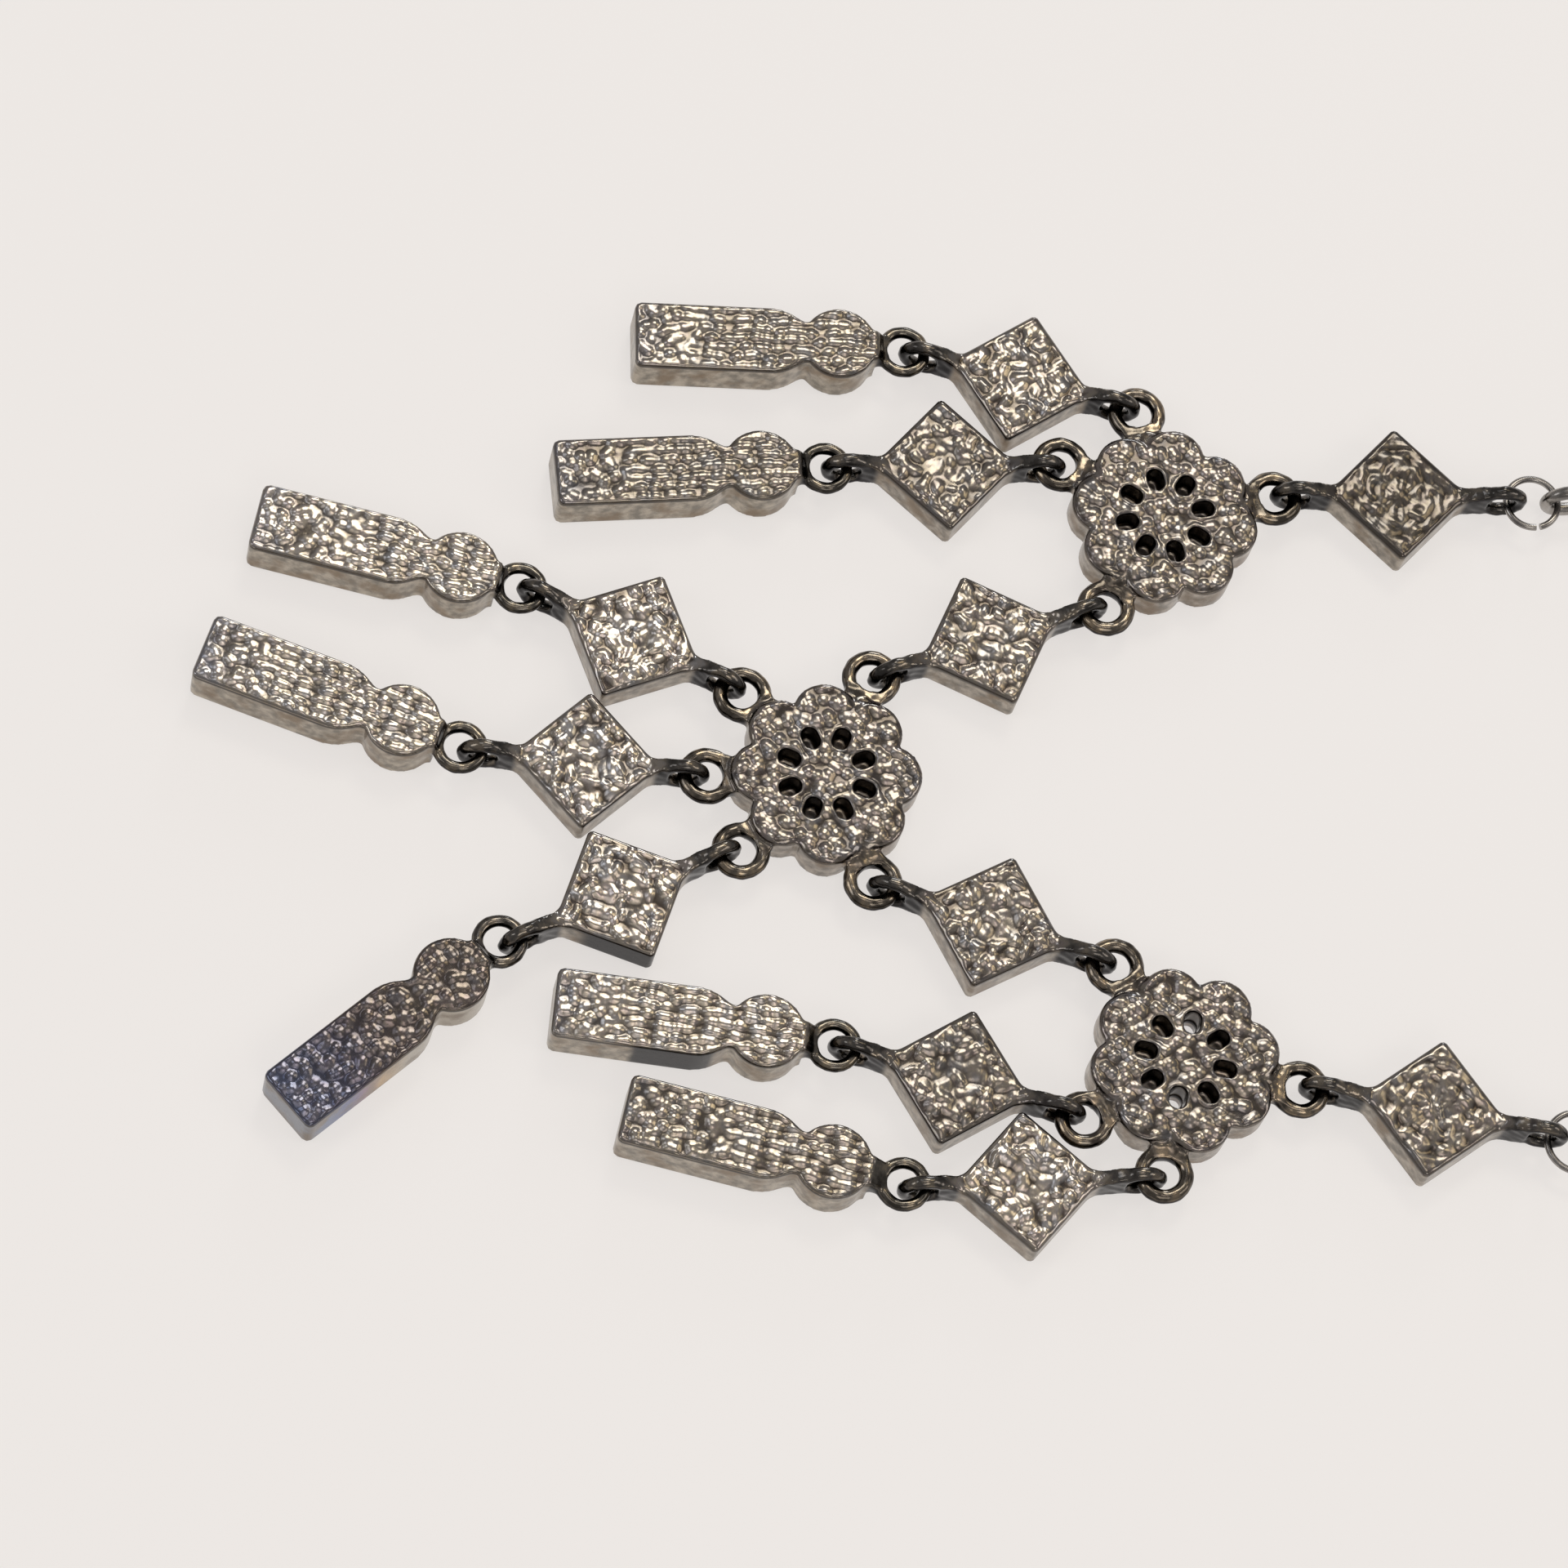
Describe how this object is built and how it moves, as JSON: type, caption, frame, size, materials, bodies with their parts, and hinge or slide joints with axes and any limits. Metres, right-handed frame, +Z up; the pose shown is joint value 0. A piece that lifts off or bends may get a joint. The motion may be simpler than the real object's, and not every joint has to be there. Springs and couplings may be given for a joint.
{
  "type": "chandelier necklace",
  "caption": "Dark silver chandelier necklace lying face down: flower rosettes, square links, bar drops and a closed link chain.",
  "frame": {"origin": "centre of the bounding box, on the surface that the necklace lies on", "axes": "+Z up from the surface, through the textured backs; +Y from the drops to the clasp; +X across, from the upper strand in the picture to the lower one"},
  "size_m": [0.0866, 0.2361, 0.0047],
  "materials": {
    "cast_metal": "dark silver plating over a pebbled casting, worn bright on the high spots, light brown tarnish",
    "wire_metal": "smooth dark gunmetal plating"
  },
  "bodies": {
    "root": {"rosette_top": "cast_metal", "rosette_middle": "cast_metal", "rosette_low": "cast_metal", "square_link_01": "cast_metal", "square_link_02": "cast_metal", "square_link_03": "cast_metal", "square_link_04": "cast_metal", "square_link_05": "cast_metal", "square_link_06": "cast_metal", "square_link_07": "cast_metal", "square_link_08": "cast_metal", "square_link_09": "cast_metal", "square_link_10": "cast_metal", "square_link_11": "cast_metal", "drop_1": "cast_metal", "drop_2": "cast_metal", "drop_3": "cast_metal", "drop_4": "cast_metal", "drop_5": "cast_metal", "drop_6": "cast_metal", "drop_7": "cast_metal", "jump_ring_top": "wire_metal", "jump_ring_low": "wire_metal", "chain_top": "wire_metal", "chain_low": "wire_metal", "clasp": "wire_metal"}
  },
  "joints": []
}
